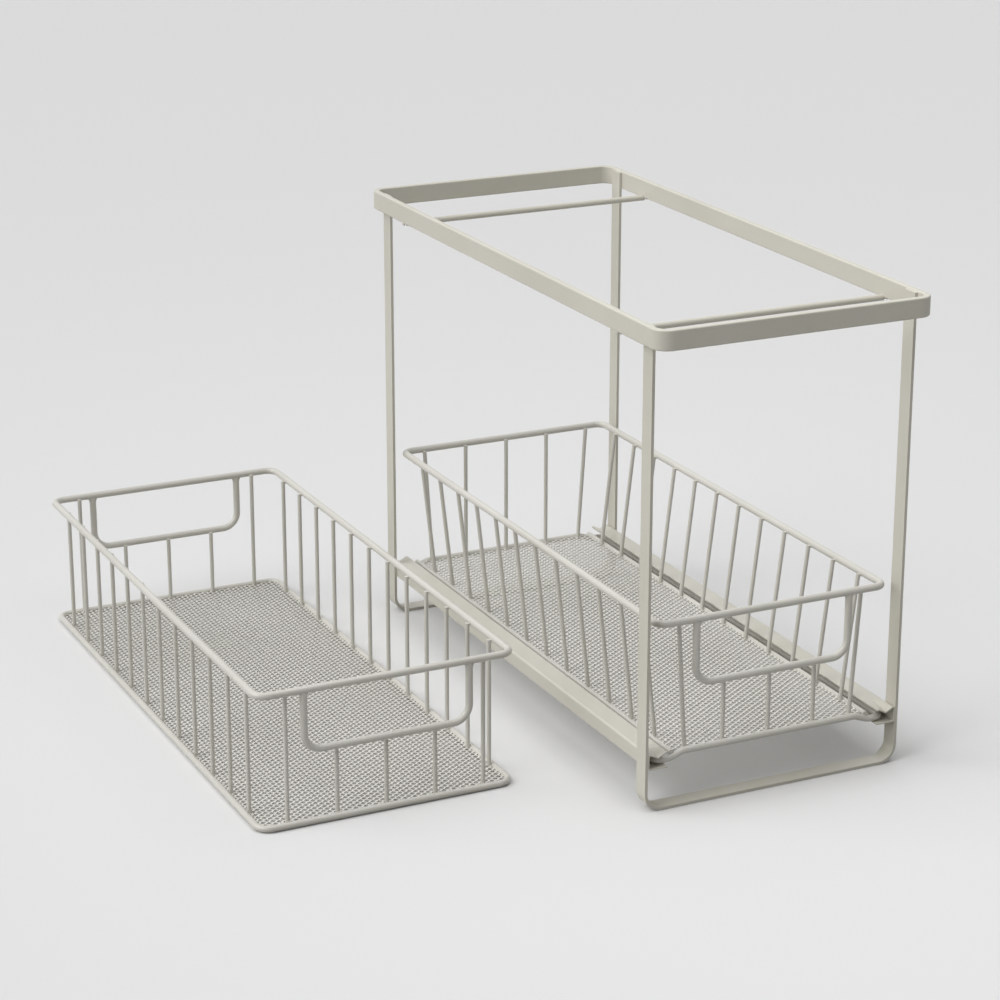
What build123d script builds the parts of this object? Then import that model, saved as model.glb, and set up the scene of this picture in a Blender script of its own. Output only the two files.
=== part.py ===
from build123d import *
import math
import os

# Under sink organizer: an open steel frame, a basket that slides out of it on two rails, and a
# second basket that stands on the floor beside it and otherwise rests on the frame's top rods.
# Millimetres. +Z is up, -Y is the front, and the origin is on the floor under the frame's middle.

# Top ring: a flat band bent to a rounded rectangle
frame_width = 202.0
frame_depth = 448.0
frame_height = 328.5
ring_band_height = 13.5
ring_band_thickness = 4.5
ring_corner_radius = 11.0
ring_edge_radius = 1.0

# Leg frames: flat strips bent to a U, whose crossbars are the feet
leg_strip_width = 12.0
leg_strip_thickness = 2.0
leg_bend_radius = 13.0
leg_end_setback = 16.0
leg_top_drop = 1.0

# Support rods under the ring, which carry the upper basket
rod_diameter = 4.4
rod_weld_depth = 2.0
rod_end_setback = 3.5
front_rod_setback = 57.0
rear_rod_setback = 61.0

# Rails: pressed channels that open inward, with a pinched dip in the top flange at both mouths
rail_underside = 29.5
rail_height = 11.0
rail_width = 14.2
rail_sheet = 1.0
rail_bend_radius = 1.5
rail_dip_width = 10.0
rail_dip_depth = 2.7
rail_dip_length = 14.5
rail_dip_edge_gap = 1.8

# Basket wires, and how deep they sit in each other where they are welded
rim_diameter = 5.0
base_diameter = 4.6
floor_wire_diameter = 4.0
upright_diameter = 3.0
upright_foot_overrun = 0.8
upright_top_drop = 0.6
weld_depth = 0.6
handle_weld_depth = 1.2

# Mesh floors: here a coarse net, with staggered rows of diamond openings between its strips
mesh_thickness = 0.8
mesh_lift = 0.3
mesh_margin = 5.0
mesh_strip_width = 5.0
mesh_openings_across = 6
mesh_openings_along = 12

# Uprights: how many stand along a side and across an end of a basket
side_upright_count = 12
end_upright_count = 5

# Handles: U-shaped wires that hang from the rim, each leg inside an outer upright
handle_leg_inset = 11.5
handle_bend_radius = 14.5

# Lower basket, whose sides lean out: its rim is inside the legs and just short of the rails' ends
lower_rim_side_gap = 6.5
lower_rim_end_gap = 3.0
lower_rim_top = 129.7
lower_corner_radius = 10.0
lower_side_row_inset = 27.6
lower_end_row_inset = 16.5
lower_end_upright_lean = 6.0
lower_handle_drop = 45.0

# Runner wire: the lower basket's base loop, its sides in the rails and its ends raised
runner_gap = 0.2
runner_side_gap = 4.2
runner_corner_radius = 8.0
runner_rise = 3.7
runner_end_run = 11.0
runner_joggle_run = 10.0
runner_joggle_radius = 8.0
floor_wire_inset = 12.5

# Upper basket, whose sides are upright and fit inside the ring, and its place on the floor
upper_rim_side_gap = 4.5
upper_rim_end_gap = 2.5
upper_height = 96.8
upper_corner_radius = 11.0
upper_side_row_inset = 29.15
upper_end_row_inset = 19.9
upper_handle_drop = 42.1
upper_place_x = -243.5
upper_place_y = 85.0

# Places of the frame's pieces
ring_inner_x = frame_width / 2 - ring_band_thickness
ring_inner_y = frame_depth / 2 - ring_band_thickness
ring_underside = frame_height - ring_band_height
leg_inner_x = ring_inner_x - leg_strip_thickness
leg_y = frame_depth / 2 - leg_end_setback - leg_strip_width / 2
leg_height = frame_height - leg_top_drop
rod_z = ring_underside + rod_weld_depth - rod_diameter / 2
front_rod_y = -(frame_depth / 2 - front_rod_setback)
rear_rod_y = frame_depth / 2 - rear_rod_setback
rail_length = frame_depth - 2 * leg_end_setback
rail_top = rail_underside + rail_height
rail_inner_x = leg_inner_x - rail_width

# Distances between the centre lines of wires that are welded side by side
rim_to_upright = (rim_diameter + upright_diameter) / 2 - weld_depth
base_to_upright = (base_diameter + upright_diameter) / 2 - weld_depth
floor_wire_to_upright = (floor_wire_diameter + upright_diameter) / 2 - weld_depth

# Places of the lower basket's wires
lower_rim_x = leg_inner_x - lower_rim_side_gap - rim_diameter / 2
lower_rim_y = rail_length / 2 - lower_rim_end_gap - rim_diameter / 2
lower_rim_z = lower_rim_top - rim_diameter / 2
lower_side_row_end = lower_rim_y - lower_side_row_inset
lower_end_row_end = lower_rim_x - lower_end_row_inset
lower_end_upright_y = lower_rim_y - rim_to_upright
lower_handle_z = lower_rim_z - lower_handle_drop
runner_x = leg_inner_x - rail_sheet - runner_side_gap - base_diameter / 2
runner_y = lower_end_upright_y + base_to_upright
runner_z = rail_underside + rail_sheet + runner_gap + base_diameter / 2
floor_bar_z = runner_z + runner_rise
floor_wire_x = runner_x - floor_wire_inset

# Places of the upper basket's wires, about its own middle
upper_rim_x = ring_inner_x - upper_rim_side_gap - rim_diameter / 2
upper_rim_y = ring_inner_y - upper_rim_end_gap - rim_diameter / 2
upper_rim_z = upper_height - rim_diameter / 2
upper_side_row_end = upper_rim_y - upper_side_row_inset
upper_end_row_end = upper_rim_x - upper_end_row_inset
upper_handle_z = upper_rim_z - upper_handle_drop
upper_side_upright_x = upper_rim_x - rim_to_upright
upper_end_upright_y = upper_rim_y - rim_to_upright
upper_base_x = upper_side_upright_x + base_to_upright
upper_base_y = upper_end_upright_y + base_to_upright
upper_base_z = base_diameter / 2


# Wires and floors that both baskets have


def spaced(count, row_end):
    """Evenly spaced places of a row of copies, from minus row_end to row_end."""
    return [row_end * (2 * i / (count - 1) - 1) for i in range(count)]


def end_row(row_end):
    """The places of an end's five uprights: the two outer ones, and the three between them."""
    left, *middle, right = spaced(end_upright_count, row_end)
    return (left, right), middle


def bent_wire(points, bend_radii, diameter, closed=False):
    """A round wire along straight runs joined by tangent bends."""
    path = FilletPolyline(*points, radius=bend_radii, close=closed)
    section = Plane(origin=path @ 0, z_dir=path % 0) * Circle(diameter / 2)
    return sweep(section, path=path)


def straight_wire(start, end, diameter):
    """A round wire from one point to another."""
    run = Vector(*end) - Vector(*start)
    on_start = (Align.CENTER, Align.CENTER, Align.MIN)
    return Plane(origin=start, z_dir=run) * Cylinder(diameter / 2, run.length, align=on_start)


def flat_loop(x, y, z, outer_radius, diameter):
    """A flat closed loop of wire, whose centre line turns at the given x and y."""
    points = [(x, y, z), (-x, y, z), (-x, -y, z), (x, -y, z)]
    return bent_wire(points, outer_radius - diameter / 2, diameter, closed=True)


def upright(foot, top):
    """One upright, from just past the middle of its base wire to just under that of its rim."""
    start = Vector(*foot) - Vector(0, 0, upright_foot_overrun)
    end = Vector(*top) - Vector(0, 0, upright_top_drop)
    return straight_wire(start, end, upright_diameter)


def hanging_handle(row_end, y, rim_z, handle_z):
    """A handle under the rim at one end of a basket."""
    leg_x = row_end - handle_leg_inset
    leg_top = rim_z - rim_diameter / 2 + handle_weld_depth
    corners = [(-leg_x, leg_top), (-leg_x, handle_z), (leg_x, handle_z), (leg_x, leg_top)]
    bend = handle_bend_radius - rim_diameter / 2
    return bent_wire([(x, y, z) for x, z in corners], bend, rim_diameter)


def without(piece, wires):
    """A piece cut to sit against the wires that it meets."""
    for wire in wires:
        piece = piece - wire
    return piece


def welded_row(uprights, wires):
    """A row of separate uprights, each cut to sit against the wires it is welded to."""
    return Compound([without(wire, wires).solid() for wire in uprights])


def mesh_openings(half_width, half_depth):
    """The diamond openings of a floor, in rows that are staggered by half a diamond."""
    pitch_x = 2 * (half_width - mesh_margin) / mesh_openings_across
    pitch_y = 2 * (half_depth - mesh_margin) / mesh_openings_along
    strip_spacing = pitch_x * pitch_y / math.hypot(pitch_x, pitch_y)
    open_share = 1 - mesh_strip_width / strip_spacing
    half_x = open_share * pitch_x / 2
    half_y = open_share * pitch_y / 2
    diamond = Polygon((half_x, 0), (0, half_y), (-half_x, 0), (0, -half_y), align=None)
    rows = GridLocations(pitch_x, pitch_y, mesh_openings_across, mesh_openings_along)
    between = GridLocations(pitch_x, pitch_y, mesh_openings_across - 1, mesh_openings_along - 1)
    return Sketch() + [place * diamond for place in [*rows, *between]]


def mesh_sheet(half_width, half_depth, corner_radius, wire_z, wires):
    """A thin floor that ends on the wires round it, notched round the uprights."""
    underside = Pos(0, 0, wire_z + mesh_lift)
    outline = RectangleRounded(2 * half_width, 2 * half_depth, corner_radius)
    sheet = without(underside * extrude(outline, mesh_thickness), wires)
    sheet -= underside * extrude(mesh_openings(half_width, half_depth), mesh_thickness)
    return sheet.solids().sort_by(SortBy.VOLUME)[-1]


# Frame


def top_ring(rods):
    outline = RectangleRounded(frame_width, frame_depth, ring_corner_radius)
    outline -= RectangleRounded(
        frame_width - 2 * ring_band_thickness,
        frame_depth - 2 * ring_band_thickness,
        ring_corner_radius - ring_band_thickness,
    )
    band = Pos(0, 0, ring_underside) * extrude(outline, ring_band_height)
    levels = band.edges().group_by(Axis.Z)
    band = fillet(levels[0] + levels[-1], ring_edge_radius)
    return without(band, rods)


def leg_frame(y):
    on_floor = (Align.CENTER, Align.MIN)
    outer = Rectangle(2 * ring_inner_x, leg_height, align=on_floor)
    outer = fillet(outer.vertices().group_by(Axis.Y)[0], leg_bend_radius)
    inner = Pos(0, leg_strip_thickness) * Rectangle(2 * leg_inner_x, leg_height, align=on_floor)
    inner = fillet(inner.vertices().group_by(Axis.Y)[0], leg_bend_radius - leg_strip_thickness)
    return Pos(0, y, 0) * extrude(Plane.XZ * (outer - inner), leg_strip_width / 2, both=True)


def support_rod(y):
    half_length = frame_width / 2 - rod_end_setback
    return straight_wire((-half_length, y, rod_z), (half_length, y, rod_z), rod_diameter)


def rail_dip_section(depth, y):
    """The pinched part of the top flange at one place along the rail."""
    low_x = rail_inner_x + rail_dip_edge_gap
    high_x = low_x + rail_dip_width
    upper = [(low_x, rail_top), ((low_x + high_x) / 2, rail_top - depth), (high_x, rail_top)]
    lower = [(x, z - rail_sheet) for x, z in reversed(upper)]
    return make_face(Polyline(*[(x, y, z) for x, z in upper + lower], close=True))


def right_rail():
    channel = Rectangle(rail_width, rail_height)
    channel = fillet(channel.vertices().group_by(Axis.X)[-1], rail_bend_radius)
    hollow = Pos(-rail_sheet) * Rectangle(rail_width, rail_height - 2 * rail_sheet)
    hollow = fillet(hollow.vertices().group_by(Axis.X)[-1], rail_bend_radius - rail_sheet)
    middle = Pos(rail_inner_x + rail_width / 2, rail_underside + rail_height / 2)
    rail = extrude(Plane.XZ * middle * (channel - hollow), rail_length / 2, both=True)
    dip_x = rail_inner_x + rail_dip_edge_gap + rail_dip_width / 2
    for direction in (-1, 1):
        mouth_y = direction * rail_length / 2
        flat_y = mouth_y - direction * rail_dip_length
        flange_place = Pos(dip_x, (mouth_y + flat_y) / 2, rail_top - rail_sheet / 2)
        rail -= flange_place * Box(rail_dip_width, rail_dip_length, rail_sheet)
        sections = [rail_dip_section(rail_dip_depth, mouth_y), rail_dip_section(0, flat_y)]
        rail += loft(sections, ruled=True)
    return rail


def frame_nodes():
    front_rod = support_rod(front_rod_y)
    rear_rod = support_rod(rear_rod_y)
    rail = right_rail()
    return {
        "top_ring": top_ring([front_rod, rear_rod]),
        "front_leg_frame": leg_frame(-leg_y),
        "rear_leg_frame": leg_frame(leg_y),
        "front_support_rod": front_rod,
        "rear_support_rod": rear_rod,
        "left_rail": mirror(rail, about=Plane.YZ),
        "right_rail": rail,
    }


# Lower basket


def runner_wire():
    """The base loop: its sides low in the rails, and both ends raised between two joggles."""
    low_x = runner_x - runner_end_run
    high_x = low_x - runner_joggle_run
    rear = [
        (runner_x, runner_z),
        (low_x, runner_z),
        (high_x, floor_bar_z),
        (-high_x, floor_bar_z),
        (-low_x, runner_z),
        (-runner_x, runner_z),
    ]
    points = [(x, runner_y, z) for x, z in rear] + [(x, -runner_y, z) for x, z in reversed(rear)]
    corner = runner_corner_radius - base_diameter / 2
    end_bends = [corner] + 4 * [runner_joggle_radius] + [corner]
    return bent_wire(points, 2 * end_bends, base_diameter, closed=True)


def lower_side_uprights(side):
    foot_x = side * (floor_wire_x - floor_wire_to_upright)
    top_x = side * (lower_rim_x - rim_to_upright)
    places = spaced(side_upright_count, lower_side_row_end)
    return [upright((foot_x, y, floor_bar_z), (top_x, y, lower_rim_z)) for y in places]


def lower_corner_uprights(y):
    """The two outer full-height uprights of one end, which lean out with the sides."""
    top_x = lower_end_row_end
    foot_x = top_x - lower_end_upright_lean
    return [upright((s * foot_x, y, floor_bar_z), (s * top_x, y, lower_rim_z)) for s in (-1, 1)]


def lower_middle_uprights(y, top_z):
    outer, middle = end_row(lower_end_row_end)
    return [upright((x, y, floor_bar_z), (x, y, top_z)) for x in middle]


def lower_basket_nodes():
    rim = flat_loop(lower_rim_x, lower_rim_y, lower_rim_z, lower_corner_radius, rim_diameter)
    runner = runner_wire()
    handle = hanging_handle(lower_end_row_end, -lower_rim_y, lower_rim_z, lower_handle_z)
    handle = without(handle, [rim])
    floor_wires = []
    for x in (-floor_wire_x, floor_wire_x):
        floor_wire = straight_wire(
            (x, -runner_y, floor_bar_z), (x, runner_y, floor_bar_z), floor_wire_diameter
        )
        floor_wires.append(without(floor_wire, [runner]).solid())
    front_y = -lower_end_upright_y
    rear_y = lower_end_upright_y
    rear_uprights = lower_corner_uprights(rear_y) + lower_middle_uprights(rear_y, lower_rim_z)
    rows = {
        "lower_left_wires": welded_row(lower_side_uprights(-1), [rim] + floor_wires),
        "lower_right_wires": welded_row(lower_side_uprights(1), [rim] + floor_wires),
        "lower_front_wires": welded_row(lower_corner_uprights(front_y), [rim, runner]),
        "lower_handle_wires": welded_row(
            lower_middle_uprights(front_y, lower_handle_z), [handle, runner]
        ),
        "lower_rear_wires": welded_row(rear_uprights, [rim, runner]),
    }
    floor_edges = [runner] + floor_wires + list(rows.values())
    floor = mesh_sheet(floor_wire_x, runner_y, runner_corner_radius, floor_bar_z, floor_edges)
    return {
        "lower_rim_wire": rim,
        "lower_runner_wire": runner,
        "lower_floor_side_wires": Compound(floor_wires),
        "lower_mesh_floor": floor,
        "lower_handle": handle,
        **rows,
    }


# Upper basket


def upper_side_uprights(side):
    x = side * upper_side_upright_x
    places = spaced(side_upright_count, upper_side_row_end)
    return [upright((x, y, upper_base_z), (x, y, upper_rim_z)) for y in places]


def upper_end_uprights(y, places, top_z):
    return [upright((x, y, upper_base_z), (x, y, top_z)) for x in places]


def upper_basket_nodes():
    rim = flat_loop(upper_rim_x, upper_rim_y, upper_rim_z, upper_corner_radius, rim_diameter)
    base = flat_loop(upper_base_x, upper_base_y, upper_base_z, upper_corner_radius, base_diameter)
    corner_places, handle_places = end_row(upper_end_row_end)
    nodes = {
        "upper_rim_wire": rim,
        "upper_base_wire": base,
        "upper_left_wires": welded_row(upper_side_uprights(-1), [rim, base]),
        "upper_right_wires": welded_row(upper_side_uprights(1), [rim, base]),
    }
    rows = [nodes["upper_left_wires"], nodes["upper_right_wires"]]
    for end, direction in (("front", -1), ("rear", 1)):
        rim_y = direction * upper_rim_y
        y = direction * upper_end_upright_y
        handle = hanging_handle(upper_end_row_end, rim_y, upper_rim_z, upper_handle_z)
        handle = without(handle, [rim])
        corner_row = welded_row(upper_end_uprights(y, corner_places, upper_rim_z), [rim, base])
        handle_row = welded_row(
            upper_end_uprights(y, handle_places, upper_handle_z), [handle, base]
        )
        nodes[f"upper_{end}_handle"] = handle
        nodes[f"upper_{end}_wires"] = corner_row
        nodes[f"upper_{end}_handle_wires"] = handle_row
        rows += [corner_row, handle_row]
    base_bend = upper_corner_radius - base_diameter / 2
    nodes["upper_mesh_floor"] = mesh_sheet(
        upper_base_x, upper_base_y, base_bend, upper_base_z, [base] + rows
    )
    place = Pos(upper_place_x, upper_place_y, 0)
    return {name: place * node for name, node in nodes.items()}


os.makedirs("parts", exist_ok=True)
for name, node in {**frame_nodes(), **lower_basket_nodes(), **upper_basket_nodes()}.items():
    export_step(node, f"parts/{name}.step")
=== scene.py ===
import bpy
import bmesh
import math
from mathutils import Matrix, Vector


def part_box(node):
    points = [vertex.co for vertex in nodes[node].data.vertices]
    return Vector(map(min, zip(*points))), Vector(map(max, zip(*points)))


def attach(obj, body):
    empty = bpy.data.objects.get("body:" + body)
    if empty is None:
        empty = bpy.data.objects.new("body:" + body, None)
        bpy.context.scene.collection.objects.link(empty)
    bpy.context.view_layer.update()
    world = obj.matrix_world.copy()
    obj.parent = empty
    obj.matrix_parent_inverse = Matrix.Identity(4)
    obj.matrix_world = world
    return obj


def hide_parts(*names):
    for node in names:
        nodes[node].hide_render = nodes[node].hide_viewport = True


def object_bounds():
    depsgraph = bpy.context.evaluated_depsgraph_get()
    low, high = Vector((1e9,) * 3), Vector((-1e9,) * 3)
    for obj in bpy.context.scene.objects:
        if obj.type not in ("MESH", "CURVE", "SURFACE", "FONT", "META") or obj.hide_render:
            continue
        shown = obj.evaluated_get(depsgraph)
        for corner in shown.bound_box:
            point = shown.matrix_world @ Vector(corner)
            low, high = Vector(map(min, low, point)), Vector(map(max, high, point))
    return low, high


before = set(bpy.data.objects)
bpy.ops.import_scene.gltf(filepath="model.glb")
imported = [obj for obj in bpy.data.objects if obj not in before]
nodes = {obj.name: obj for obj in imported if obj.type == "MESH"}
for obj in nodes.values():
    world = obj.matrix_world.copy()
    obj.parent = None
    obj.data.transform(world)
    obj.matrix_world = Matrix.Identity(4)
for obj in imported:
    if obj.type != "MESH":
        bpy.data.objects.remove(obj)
cadLow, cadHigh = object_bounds()
mm = 0.001
print("frame loaded:", len(nodes), "nodes")


# Shader maths: a value is a socket that can be added and multiplied

class Value:
    def __init__(self, finish, socket):
        self.finish = finish
        self.socket = socket

    def maths(self, operation, first, second):
        return self.finish.node("ShaderNodeMath", {"operation": operation}, {0: first, 1: second})

    def __add__(self, other):
        return self.maths("ADD", self, other)

    def __radd__(self, other):
        return self.maths("ADD", other, self)

    def __mul__(self, other):
        return self.maths("MULTIPLY", self, other)


class Finish:
    def __init__(self, name):
        self.material = bpy.data.materials.new(name)
        self.material.use_nodes = True
        self.tree = self.material.node_tree
        self.shader = self.tree.nodes["Principled BSDF"]

    def put(self, socket, value):
        if isinstance(value, Value):
            self.tree.links.new(value.socket, socket)
        else:
            socket.default_value = value

    def node(self, kind, settings, inputs, output=0):
        made = self.tree.nodes.new(kind)
        stops = settings.pop("stops", [])
        for name, value in settings.items():
            setattr(made, name, value)
        for index, (place, shade) in enumerate(stops):
            ramp = made.color_ramp.elements
            stop = ramp[index] if index < len(ramp) else ramp.new(place)
            stop.position = place
            stop.color = (shade, shade, shade, 1)
        for name, value in inputs.items():
            self.put(made.inputs[name], value)
        return Value(self, made.outputs[output])

    def place(self):
        return self.node("ShaderNodeTexCoord", {}, {}, "Object")

    def noise(self, scale, detail):
        inputs = {"Vector": self.place(), "Scale": scale, "Detail": detail}
        return self.node("ShaderNodeTexNoise", {}, inputs)

    def ramp(self, value, *stops):
        return self.node("ShaderNodeValToRGB", {"stops": stops}, {"Fac": value})

    def mix(self, share, first, second):
        inputs = {"Factor": share, 6: first, 7: second}
        return self.node("ShaderNodeMix", {"data_type": "RGBA"}, inputs, 2)

    def bump(self, height, strength, distance):
        inputs = {"Height": height, "Strength": strength, "Distance": distance}
        return self.node("ShaderNodeBump", {}, inputs)

    def look(self, **sockets):
        for name, value in sockets.items():
            self.put(self.shader.inputs[name.replace("_", " ")], value)
        return self.material


def tone(red, green, blue):  # an ordinary 0-255 colour, as the shader's linear one
    def linear(part):
        part = part / 255
        return part / 12.92 if part <= 0.04045 else ((part + 0.055) / 1.055) ** 2.4
    return (linear(red), linear(green), linear(blue), 1)


# Finishes: one warm grey powder coat, a little different on frame and wire; the mesh's copy is
# painted lighter, as painted light for the brighter light its flat strands catch

coatLook = {
    "frame": {"plain": (202, 199, 188), "shade": (196, 193, 181), "gloss": 0.34, "sheen": 0.0},
    "wire": {"plain": (202, 200, 192), "shade": (194, 192, 183), "gloss": 0.30, "sheen": 0.4},
    # the mesh's tones are painted lighter than the frame's: painted light standing in for the
    # light the flat mesh catches from above
    "mesh": {"plain": (218, 216, 209), "shade": (210, 208, 200), "gloss": 0.30, "sheen": 0.5},
    "light": (222, 220, 212),
    "speckles": 0.30,  # how far the speckles go towards the light tone
    "patchScale": 9.0,
    "patchGloss": 0.05,
    "speckleScale": 2600.0,
    "grainScale": 1100.0,
    "grainGloss": 0.10,
    "grainStrength": 0.35,
    "grainDepth": 0.03 * mm,
    "sheenGloss": 0.28,
}


def powderCoat(kind):
    tint = coatLook[kind]
    coat = Finish(kind + "Coat")
    patches = coat.ramp(coat.noise(coatLook["patchScale"], 3.0), (0.36, 0.0), (0.64, 1.0))
    speckle = coat.ramp(coat.noise(coatLook["speckleScale"], 1.0), (0.60, 0.0), (0.72, 1.0))
    peel = coat.noise(coatLook["grainScale"], 2.0)
    colour = coat.mix(patches, tone(*tint["plain"]), tone(*tint["shade"]))
    colour = coat.mix(speckle * coatLook["speckles"], colour, tone(*coatLook["light"]))
    unevenness = patches * coatLook["patchGloss"] + peel * coatLook["grainGloss"]
    return coat.look(
        Base_Color=colour,
        Roughness=tint["gloss"] + unevenness,
        Normal=coat.bump(peel, coatLook["grainStrength"], coatLook["grainDepth"]),
        Specular_IOR_Level=0.5,
        Coat_Weight=tint["sheen"],
        Coat_Roughness=coatLook["sheenGloss"],
    )


finishes = {kind: powderCoat(kind) for kind in ("frame", "wire", "mesh")}


def paint(obj, finish):
    if not obj.material_slots:
        obj.data.materials.append(finish)
    for spot in obj.material_slots:
        spot.material = finish


framePieces = [
    "top_ring", "front_leg_frame", "rear_leg_frame",
    "front_support_rod", "rear_support_rod", "left_rail", "right_rail",
]
for name, obj in nodes.items():
    paint(obj, finishes["frame" if name in framePieces else "wire"])
print("finishes made:", len(finishes))


def finished(bm, name, body, finish):
    bmesh.ops.recalc_face_normals(bm, faces=bm.faces)
    mesh = bpy.data.meshes.new(name)
    bm.to_mesh(mesh)
    bm.free()
    obj = bpy.data.objects.new(name, mesh)
    bpy.context.scene.collection.objects.link(obj)
    paint(obj, finish)
    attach(obj, body)
    return obj


# Expanded mesh floors: a net of diamonds, each strand tilted a little as the slit sheet is pulled

meshLook = {
    "across": 7.0 * mm,
    "along": 4.5 * mm,
    "strand": 1.44 * mm,
    "tilt": 0.22,
    "thickness": 0.75 * mm,
    "bury": 0.8 * mm,  # how far the net's edge goes into the wires
    "cornerCut": 4.8 * mm,
}


def meshFloor(name, node, body, tilt):
    low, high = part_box(node)
    middle = (low + high) / 2
    halfX = (high.x - low.x) / 2 + meshLook["bury"]
    halfY = (high.y - low.y) / 2 + meshLook["bury"]
    across = meshLook["across"]
    along = meshLook["along"]
    count = 2 * math.ceil(halfX / across + halfY / along) + 2
    bm = bmesh.new()
    bmesh.ops.create_grid(bm, x_segments=count, y_segments=count, size=count / 2)
    quarter = Matrix.Rotation(math.pi / 4, 3, "Z")
    bmesh.ops.rotate(bm, verts=bm.verts, cent=(0, 0, 0), matrix=quarter)
    flatten = (across / math.sqrt(2), along / math.sqrt(2), 1)
    bmesh.ops.scale(bm, verts=bm.verts, vec=flatten)
    far = []
    for face in bm.faces:
        centre = face.calc_center_median()
        if abs(centre.x) > halfX + across or abs(centre.y) > halfY + along:
            far.append(face)
    bmesh.ops.delete(bm, geom=far, context="FACES")
    strands = bmesh.ops.bevel(
        bm, geom=bm.edges[:], offset=meshLook["strand"] / 2, offset_type="OFFSET",
        segments=1, profile=0.5, affect="EDGES", material=-1, clamp_overlap=False,
    )["faces"]
    strands = set(strands)
    openings = [face for face in bm.faces if face not in strands]
    for face in openings:
        centre = face.calc_center_median()
        for corner in face.verts:
            corner.co.z += tilt * (corner.co.y - centre.y)
    bmesh.ops.delete(bm, geom=openings, context="FACES_ONLY")
    cut = meshLook["cornerCut"] / 2
    for signX in (-1, 1):
        for signY in (-1, 1):
            for spot, way in (
                ((signX * halfX, 0, 0), (signX, 0, 0)),
                ((0, signY * halfY, 0), (0, signY, 0)),
                ((signX * (halfX - cut), signY * (halfY - cut), 0), (signX, signY, 0)),
            ):
                everything = bm.verts[:] + bm.edges[:] + bm.faces[:]
                bmesh.ops.bisect_plane(
                    bm, geom=everything, plane_co=spot, plane_no=way, clear_outer=True,
                )
    bmesh.ops.solidify(bm, geom=bm.faces[:], thickness=meshLook["thickness"])
    bmesh.ops.translate(bm, verts=bm.verts, vec=middle)
    print(name, "has", len(openings), "openings and", len(bm.faces), "faces")
    obj = finished(bm, name, body, finishes["mesh"])
    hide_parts(node)
    return obj


meshFloor("lowerMesh", "lower_mesh_floor", "lower_basket", meshLook["tilt"])
meshFloor("upperMesh", "upper_mesh_floor", "upper_basket", meshLook["tilt"])
print("mesh floors made")


# Welds: a small bead where each upright meets a wire, and a flare where a handle meets the rim

weldLook = {
    "beadAlong": 2.3 * mm,
    "beadUp": 1.5 * mm,
    "beadThrough": 0.95 * mm,
    "beadInward": 1.3 * mm,  # from the middle of an upright's end towards the wire
    "beadDrop": 0.9 * mm,  # below the middle of the rim or handle
    "flareHeight": 3.6 * mm,
    "flareWidth": 1.02,  # at its foot, as a share of the handle's width
    "flareSpread": 0.6,  # and what is added to that at its top
    "flareCurve": 2.2,
    "flareThrough": 0.99,  # just inside the handle, so that only its two sides show
    "flareRings": 6,
    "flareDrop": 1.9 * mm,  # below the middle of the rim
    "rimRadius": 2.5 * mm,  # also the handles' radius
    "baseRadius": {
        "lower_floor_side_wires": 2.0 * mm,
        "lower_runner_wire": 2.3 * mm,
        "upper_base_wire": 2.3 * mm,
    },
    "endReach": 1.5 * mm,  # how much of an upright counts as its end, to find the end's middle
    "rodInset": 1.0 * mm,  # from the ring's outer face to the bead at a rod's end
    "rodDrop": 0.5 * mm,
}
rise = Vector((0, 0, 1))


def uprightsOf(node):  # (foot, top) of each upright of a row, at the middles of its two ends
    bm = bmesh.new()
    bm.from_mesh(nodes[node].data)
    bmesh.ops.remove_doubles(bm, verts=bm.verts, dist=0.01 * mm)
    waiting = set(bm.verts)
    ends = []
    while waiting:
        island = [waiting.pop()]
        for vert in island:
            for edge in vert.link_edges:
                other = edge.other_vert(vert)
                if other in waiting:
                    waiting.discard(other)
                    island.append(other)
        heights = [vert.co.z for vert in island]
        pair = []
        for level in (min(heights), max(heights)):
            near = [vert.co for vert in island if abs(vert.co.z - level) < weldLook["endReach"]]
            pair.append(sum(near, Vector()) / len(near))
        ends.append(pair)
    bm.free()
    return ends


def addBead(bm, place, side):
    bead = bmesh.ops.create_uvsphere(bm, u_segments=10, v_segments=6, radius=1)["verts"]
    size = Vector((weldLook["beadAlong"], weldLook["beadThrough"], weldLook["beadUp"]))
    bmesh.ops.scale(bm, verts=bead, vec=size)
    turn = Vector((0, 1, 0)).rotation_difference(side).to_matrix()
    bmesh.ops.rotate(bm, verts=bead, cent=(0, 0, 0), matrix=turn)
    bmesh.ops.translate(bm, verts=bead, vec=place)


def addFlare(bm, place, radius):
    loops = []
    for step in range(weldLook["flareRings"] + 1):
        share = step / weldLook["flareRings"]
        ring = bmesh.ops.create_circle(bm, segments=20, radius=radius)["verts"]
        spread = (1 - share) ** weldLook["flareCurve"]
        wide = weldLook["flareWidth"] + weldLook["flareSpread"] * spread
        bmesh.ops.scale(bm, verts=ring, vec=(wide, weldLook["flareThrough"], 1))
        drop = place - rise * weldLook["flareHeight"] * share
        bmesh.ops.translate(bm, verts=ring, vec=drop)
        loops.append(list({edge for vert in ring for edge in vert.link_edges}))
    for first, second in zip(loops, loops[1:]):
        bmesh.ops.bridge_loops(bm, edges=first + second)
    bmesh.ops.holes_fill(bm, edges=loops[0] + loops[-1], sides=0)


def middleOf(node):
    low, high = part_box(node)
    return (low + high) / 2


left, right = Vector((-1, 0, 0)), Vector((1, 0, 0))
front, rear = Vector((0, -1, 0)), Vector((0, 1, 0))


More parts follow.
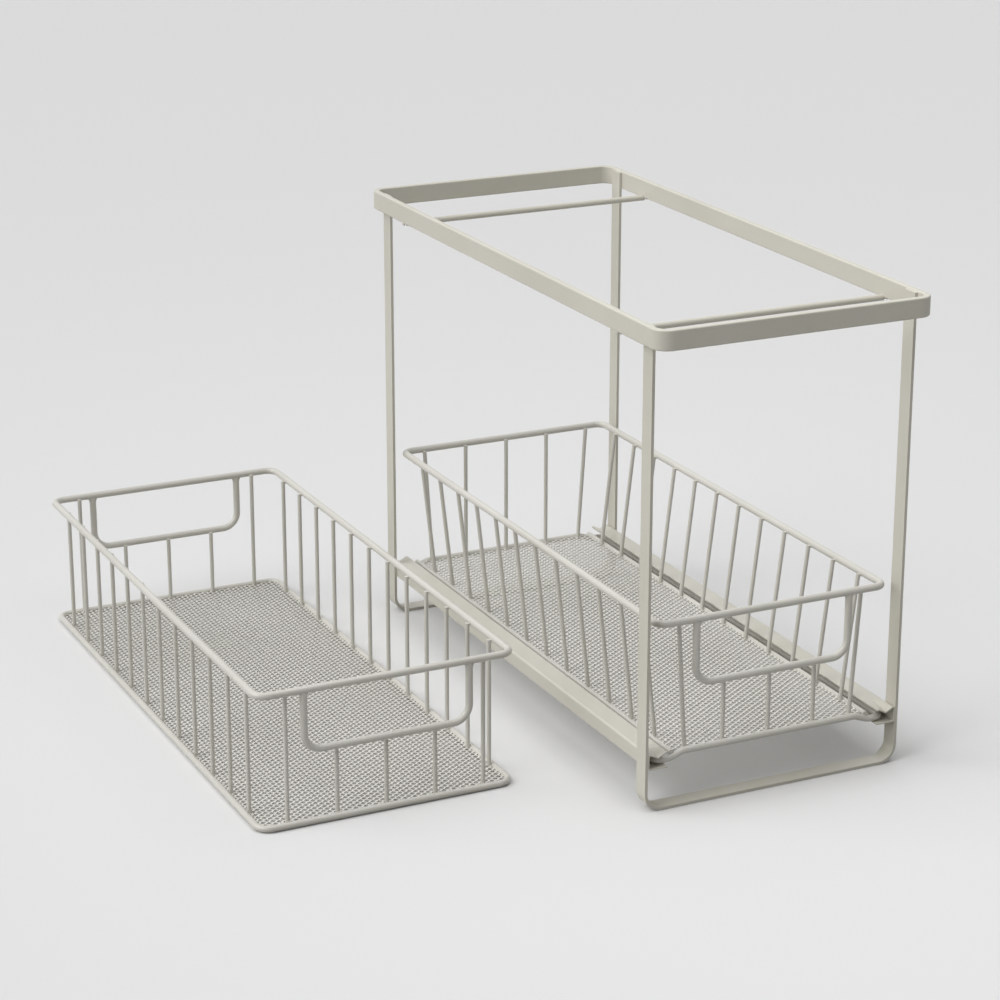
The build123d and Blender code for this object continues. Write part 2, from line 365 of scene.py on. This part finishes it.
def basketWelds(name, body, rim, sideBase, endBase, rows, handles):
    bm = bmesh.new()
    rimLevel = middleOf(rim).z
    for row, side, handle in rows:
        base = endBase if side.y else sideBase
        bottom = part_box(base)[1].z - weldLook["baseRadius"][base]
        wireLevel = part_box(handle)[0].z + weldLook["rimRadius"] if handle else rimLevel
        for foot, top in uprightsOf(row):
            run = (top - foot) / (top.z - foot.z)
            for level in (bottom, wireLevel - weldLook["beadDrop"]):
                place = foot + run * (level - foot.z) + side * weldLook["beadInward"]
                addBead(bm, place, side)
    for handle in handles:
        low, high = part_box(handle)
        radius = weldLook["rimRadius"]
        for x in (low.x + radius, high.x - radius):
            start = Vector((x, (low.y + high.y) / 2, rimLevel - weldLook["flareDrop"]))
            addFlare(bm, start, radius)
    print(name, "has", len(bm.faces), "faces")
    return finished(bm, name, body, finishes["wire"])


basketWelds(
    "lowerWelds", "lower_basket", "lower_rim_wire", "lower_floor_side_wires", "lower_runner_wire",
    [
        ("lower_left_wires", left, None),
        ("lower_right_wires", right, None),
        ("lower_front_wires", front, None),
        ("lower_rear_wires", rear, None),
        ("lower_handle_wires", front, "lower_handle"),
    ],
    ["lower_handle"],
)
basketWelds(
    "upperWelds", "upper_basket", "upper_rim_wire", "upper_base_wire", "upper_base_wire",
    [
        ("upper_left_wires", left, None),
        ("upper_right_wires", right, None),
        ("upper_front_wires", front, None),
        ("upper_rear_wires", rear, None),
        ("upper_front_handle_wires", front, "upper_front_handle"),
        ("upper_rear_handle_wires", rear, "upper_rear_handle"),
    ],
    ["upper_front_handle", "upper_rear_handle"],
)
bm = bmesh.new()
ringLow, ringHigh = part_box("top_ring")
for rod in ("front_support_rod", "rear_support_rod"):
    for side, edge in ((left, ringLow.x), (right, ringHigh.x)):
        x = edge - side.x * weldLook["rodInset"]
        addBead(bm, Vector((x, middleOf(rod).y, ringLow.z - weldLook["rodDrop"])), side)
finished(bm, "rodWelds", "frame", finishes["frame"])
print("welds made")


# Room: a pale floor, soft light from the left, and the camera

roomLook = {
    "floorSize": 30.0,
    "floorDrop": 0.2 * mm,
    # the seen floor is painted lighter towards the back: a painted light falloff across the floor
    "floorNear": (226, 226, 226),
    "floorFar": (234, 234, 234),
    "fadeFrom": -0.7,  # metres along y, where the near floor starts to fade into the far one
    "fadeTo": 1.1,
    "floorBounce": (176, 175, 172),
    "worldStrength": 0.18,
    "worldSeen": 0.90,
}

bm = bmesh.new()
bmesh.ops.create_grid(bm, x_segments=1, y_segments=1, size=roomLook["floorSize"] / 2)
bmesh.ops.translate(bm, verts=bm.verts, vec=(0, 0, cadLow.z - roomLook["floorDrop"]))
floorMesh = bpy.data.meshes.new("roomFloor")
bm.to_mesh(floorMesh)
bm.free()
roomFloor = bpy.data.objects.new("roomFloor", floorMesh)
bpy.context.scene.collection.objects.link(roomFloor)
floorFinish = Finish("floorPaint")
rays = floorFinish.node("ShaderNodeLightPath", {}, {}, "Is Camera Ray")
mirrored = floorFinish.node("ShaderNodeLightPath", {}, {}, "Is Glossy Ray")
through = floorFinish.node("ShaderNodeLightPath", {}, {}, "Is Transmission Ray")
seen = rays + mirrored + through
depth = floorFinish.node("ShaderNodeSeparateXYZ", {}, {"Vector": floorFinish.place()}, "Y")
fade = floorFinish.node(
    "ShaderNodeMapRange", {"interpolation_type": "SMOOTHSTEP"},
    {"Value": depth, "From Min": roomLook["fadeFrom"], "From Max": roomLook["fadeTo"]},
)
# painted light on the floor: its seen tone grows lighter from near to far
seenTone = floorFinish.mix(fade, tone(*roomLook["floorNear"]), tone(*roomLook["floorFar"]))
floorTone = floorFinish.mix(seen, tone(*roomLook["floorBounce"]), seenTone)
paint(roomFloor, floorFinish.look(Base_Color=floorTone, Roughness=1.0, Specular_IOR_Level=0.0))

world = bpy.data.worlds.new("softRoom")
bpy.context.scene.world = world
world.use_nodes = True
sky = world.node_tree.nodes["Background"]
sky.inputs["Color"].default_value = (1, 1, 1, 1)
skyRays = world.node_tree.nodes.new("ShaderNodeLightPath")
skyShow = world.node_tree.nodes.new("ShaderNodeMapRange")
skyShow.inputs["To Min"].default_value = roomLook["worldStrength"]
skyShow.inputs["To Max"].default_value = roomLook["worldSeen"]
seenBy = skyRays.outputs["Is Glossy Ray"]
for kind in ("Is Camera Ray", "Is Transmission Ray"):
    both = world.node_tree.nodes.new("ShaderNodeMath")
    both.operation = "ADD"
    world.node_tree.links.new(seenBy, both.inputs[0])
    world.node_tree.links.new(skyRays.outputs[kind], both.inputs[1])
    seenBy = both.outputs[0]
world.node_tree.links.new(seenBy, skyShow.inputs["Value"])
world.node_tree.links.new(skyShow.outputs["Result"], sky.inputs["Strength"])

lamps = {  # a direction that each light comes from, its width in degrees, and its strength
    "windowLeft": {"from": (-0.80, 0.06, 0.58), "width": 60.0, "strength": 2.1},
    "ceiling": {"from": (0.0, 0.28, 1.0), "width": 90.0, "strength": 0.93},
}
for name, lamp in lamps.items():
    light = bpy.data.lights.new(name, "SUN")
    light.angle = math.radians(lamp["width"])
    light.energy = lamp["strength"]
    holder = bpy.data.objects.new(name, light)
    aim = -Vector(lamp["from"])
    holder.rotation_euler = aim.to_track_quat("-Z", "Y").to_euler()
    bpy.context.scene.collection.objects.link(holder)

panelLook = {  # a soft panel that hangs over the object, a little in front of it
    "place": (0.0, -0.35, 1.15),
    "size": 0.8,
    "power": 3.0,
}
panel = bpy.data.lights.new("panel", "AREA")
panel.size = panelLook["size"]
panel.energy = panelLook["power"]
panelHolder = bpy.data.objects.new("panel", panel)
panelHolder.location = panelLook["place"]
bpy.context.scene.collection.objects.link(panelHolder)

shot = {
    "place": (-0.91355, -1.69087, 0.78614),
    "tilt": 18.66,
    "turn": -25.67,
    "lens": 102.567,
}
lens = bpy.data.cameras.new("photoCamera")
lens.lens = shot["lens"]
lens.clip_start = 0.05
lens.clip_end = 100
camera = bpy.data.objects.new("photoCamera", lens)
camera.location = shot["place"]
camera.rotation_euler = (math.radians(90 - shot["tilt"]), 0, math.radians(shot["turn"]))
bpy.context.scene.collection.objects.link(camera)
bpy.context.scene.camera = camera
bpy.context.scene.view_settings.view_transform = "Standard"
print("room, lamps and camera made")

bpy.context.view_layer.update()
